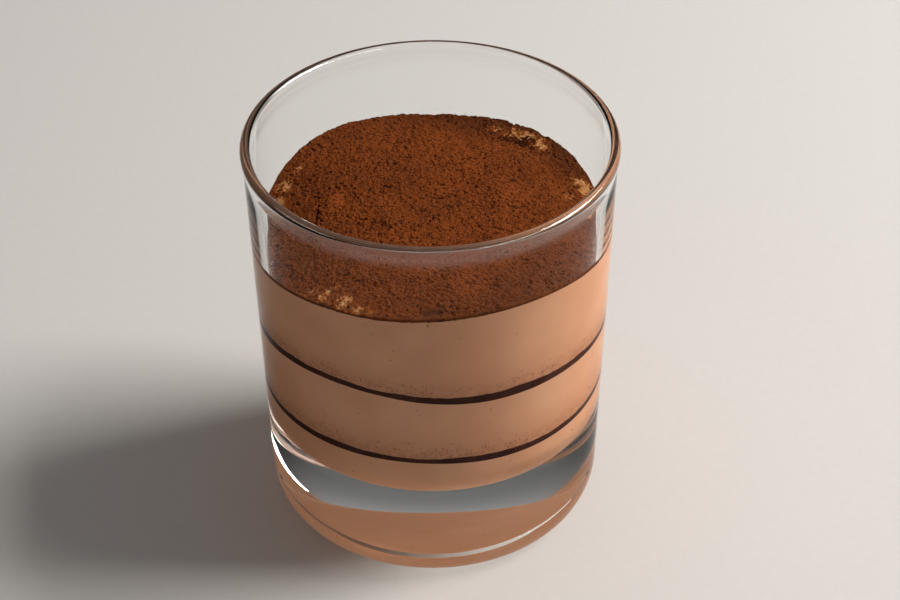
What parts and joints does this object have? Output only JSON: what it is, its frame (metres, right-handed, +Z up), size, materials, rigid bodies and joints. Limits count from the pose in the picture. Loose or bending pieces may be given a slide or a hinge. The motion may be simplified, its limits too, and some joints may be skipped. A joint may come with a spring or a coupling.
{
  "type": "glass of tiramisu",
  "caption": "Heavy-based straight tumbler filled with bands of mascarpone cream parted by dark cocoa lines, under a domed top of cocoa powder.",
  "frame": {"origin": "middle of the glass's underside, on the surface that it stands on", "axes": "+Z up along the glass's axis, -Y towards the viewer, +X to the viewer's right"},
  "size_m": [0.084, 0.084, 0.097],
  "materials": {
    "clear_glass": "clear soda-lime glass, polished, smooth rounded lip",
    "mascarpone_cream": "smooth beige mascarpone cream with coffee, soft satin shine, few tiny pores",
    "wet_cocoa": "moist dark brown cocoa pressed between the creams",
    "cocoa_powder": "dry brown cocoa powder, coarse and crumbly, fully matte"
  },
  "bodies": {
    "root": {"glass": "clear_glass", "cream_bottom": "mascarpone_cream", "cocoa_line_lower": "wet_cocoa", "cream_middle": "mascarpone_cream", "cocoa_line_upper": "wet_cocoa", "cream_top": "mascarpone_cream", "cocoa_top": "cocoa_powder"}
  },
  "joints": []
}
